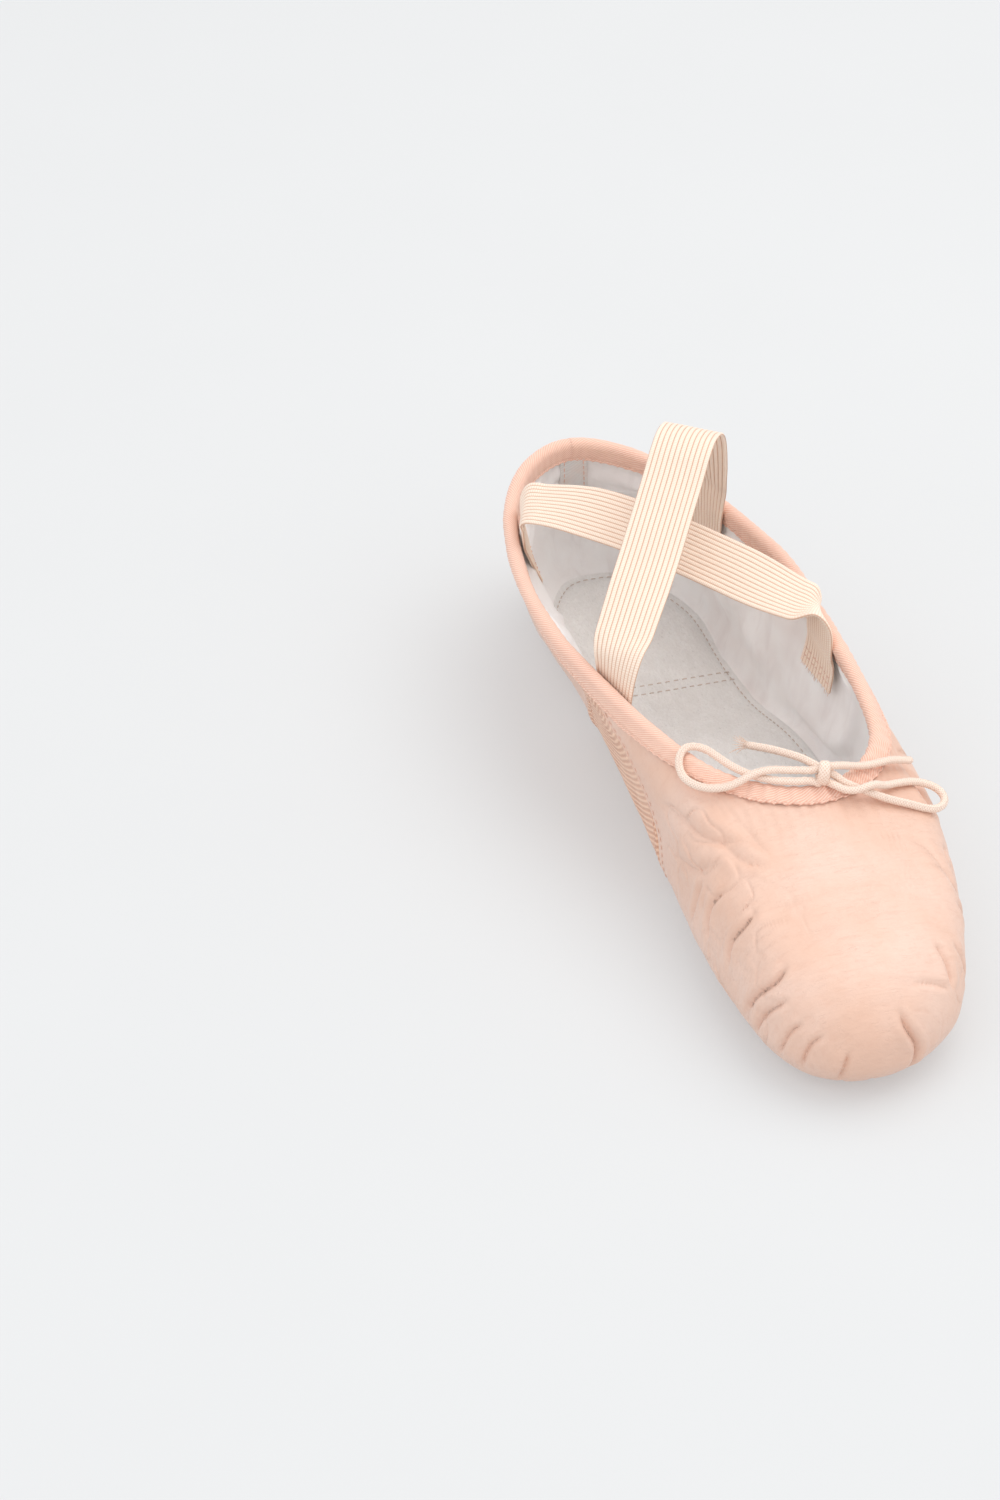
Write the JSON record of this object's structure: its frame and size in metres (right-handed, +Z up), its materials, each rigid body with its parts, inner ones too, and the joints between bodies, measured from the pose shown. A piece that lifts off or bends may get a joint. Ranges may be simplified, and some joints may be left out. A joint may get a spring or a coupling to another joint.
{
  "type": "ballet slipper",
  "caption": "Soft split-sole ballet slipper with a low gathered throat, a drawstring bow, crossed elastic straps over the open instep and separate front and heel sole patches.",
  "frame": {"origin": "centre of the slipper's footprint box, on the floor under the two sole patches", "axes": "+X towards the toe, +Y towards the left side seen from the heel, +Z up"},
  "size_m": [0.2356, 0.0798, 0.0871],
  "materials": {
    "leather": "soft matt full-grain leather, peach pink, fine wrinkles",
    "lining": "off-white woven cotton lining with a light sheen",
    "stretch_panel": "fine diagonal ribbed stretch cloth, peach pink",
    "suede": "grey-brown suede, brushed",
    "insole": "light grey brushed suede-like cloth",
    "foam": "thin white foam under the insole cloth",
    "binding": "folded salmon-pink twill tape, stitched along its lower edge",
    "elastic": "pale cream-pink ribbed elastic webbing",
    "cord": "pale cream-pink round cotton cord"
  },
  "bodies": {
    "forefoot": {"vamp": "leather", "vamp_lining": "lining", "front_sole_patch": "suede", "front_insole": "insole", "bow_knot": "cord", "bow_loop_left": "cord", "bow_tail_left": "cord", "bow_loop_right": "cord", "bow_tail_right": "cord"},
    "heel": {"quarter_left": "leather", "quarter_lining_left": "lining", "quarter_right": "leather", "quarter_lining_right": "lining", "arch_panel": "stretch_panel", "arch_lining": "lining", "heel_sole_patch": "suede", "heel_pad": "foam", "heel_insole": "insole", "arch_sock": "insole", "binding": "binding", "drawstring": "cord", "back_seam_tape": "binding", "strap_over_front_end": "elastic", "strap_over_rear_end": "elastic", "strap_under_front_end": "elastic", "strap_under_rear_end": "elastic"},
    "over_strap": {"strap_over": "elastic"},
    "under_strap": {"strap_under": "elastic"}
  },
  "joints": [
    {"name": "arch_flex", "type": "hinge", "parent": "forefoot", "child": "heel", "pos_m": [0.012, 0, 0.02], "axis": [0, 1, 0], "range_deg": [-40, 25], "deforming": ["arch_panel", "arch_lining", "arch_sock", "binding", "drawstring", "strap_over_front_end", "strap_under_front_end"]},
    {"name": "over_strap_sway", "type": "hinge", "parent": "heel", "child": "over_strap", "pos_m": [-0.00176, -0.02919, 0.05111], "axis": [-0.8028, 0.5963, -0.0006], "range_deg": [-18, 18], "stiffness_Nm_per_rad": 0.01},
    {"name": "under_strap_sway", "type": "hinge", "parent": "heel", "child": "under_strap", "pos_m": [-0.00904, 0.03113, 0.05073], "axis": [-0.7409, -0.6713, 0.0214], "range_deg": [-18, 18], "stiffness_Nm_per_rad": 0.01}
  ]
}
